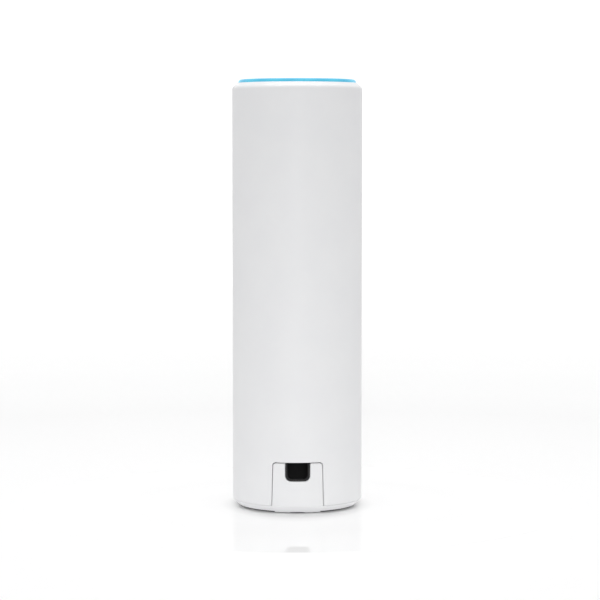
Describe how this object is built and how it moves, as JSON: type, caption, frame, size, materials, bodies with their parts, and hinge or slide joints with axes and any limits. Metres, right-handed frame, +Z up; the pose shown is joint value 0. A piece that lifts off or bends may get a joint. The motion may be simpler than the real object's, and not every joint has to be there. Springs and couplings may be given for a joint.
{
  "type": "mesh wifi node",
  "caption": "Slim white cylindrical mesh wifi node with a lit blue ring round its top and a pull-off base whose door has a cable notch.",
  "frame": {"origin": "centre of the foot, on the surface the node stands on", "axes": "+Z up along the tube; the cable door faces -Y; +X is to the right when looking at the door"},
  "size_m": [0.048, 0.048, 0.158],
  "materials": {
    "white_shell": "fine satin moulded plastic",
    "white_cap": "fine satin moulded plastic",
    "lit_ring": "translucent light guide, lit blue",
    "diffuser_white": "white reflecting plastic",
    "board_green": "solder resist over glass fibre",
    "emitter": "phosphor under clear resin",
    "connector_white": "natural nylon",
    "ribbon": "polyester film cable",
    "screw_steel": "zinc plated",
    "black_plastic": "fine grained moulded plastic",
    "gold_plate": "gold plated",
    "antenna_brass": "rolled sheet",
    "lead_sleeve": "extruded sleeve",
    "chip_black": "moulded resin",
    "ceramic_parts": "fired ceramic",
    "can_steel": "tin plated sheet",
    "thermal_pad": "soft silicone pad",
    "sink_aluminium": "die cast, bead blasted",
    "capacitor_can": "drawn can",
    "ferrite": "pressed ferrite",
    "winding_tape": "polyester tape",
    "plunger_red": "moulded plastic",
    "button_grey": "moulded plastic",
    "black_rubber": "matt rubber",
    "foot_rubber": "matt rubber"
  },
  "bodies": {
    "base": {"base_cover": "white_shell", "cable_grommet": "black_rubber", "foot_pad": "foot_rubber"},
    "tube_and_electronics": {"outer_shell": "white_shell", "top_cap": "white_cap", "light_ring": "lit_ring", "light_baffle": "diffuser_white", "led_board": "board_green", "leds": "emitter", "led_connectors": "connector_white", "led_ribbon": "ribbon", "led_board_screws": "screw_steel", "antenna_carrier": "black_plastic", "carrier_screws": "screw_steel", "coax_plugs": "gold_plate", "antenna_1": "antenna_brass", "antenna_2": "antenna_brass", "antenna_3": "antenna_brass", "antenna_4": "antenna_brass", "antenna_lead_1": "lead_sleeve", "antenna_lead_2": "lead_sleeve", "antenna_lead_3": "lead_sleeve", "antenna_lead_4": "lead_sleeve", "main_board": "board_green", "processor_chip": "chip_black", "memory_chips": "chip_black", "radio_chips": "chip_black", "surface_parts": "ceramic_parts", "front_shield_can": "can_steel", "rear_shield_can": "can_steel", "front_thermal_pad": "thermal_pad", "rear_thermal_pad": "thermal_pad", "front_heatsink": "sink_aluminium", "rear_heatsink": "sink_aluminium", "heatsink_screws": "screw_steel", "capacitors": "capacitor_can", "power_inductors": "ferrite", "lan_transformer": "chip_black", "transformer_core": "ferrite", "transformer_winding": "winding_tape", "jack_housing": "black_plastic", "jack_shield": "can_steel", "jack_contacts": "gold_plate", "reset_switch": "black_plastic", "board_rail_left": "black_plastic", "board_rail_right": "black_plastic", "rail_screws": "screw_steel", "bay_housing": "black_plastic", "chassis_screws": "screw_steel"},
    "reset": {"reset_button": "button_grey", "reset_plunger": "plunger_red"}
  },
  "joints": [
    {"name": "base_pull_off", "type": "slide", "parent": "base", "child": "tube_and_electronics", "axis": [0, 0, 1], "range_m": [0, 0.024]},
    {"name": "reset_press", "type": "slide", "parent": "tube_and_electronics", "child": "reset", "axis": [0, 0, 1], "range_m": [0, 0.0006], "stiffness_N_per_m": 300, "springref_m": -0.0005}
  ]
}
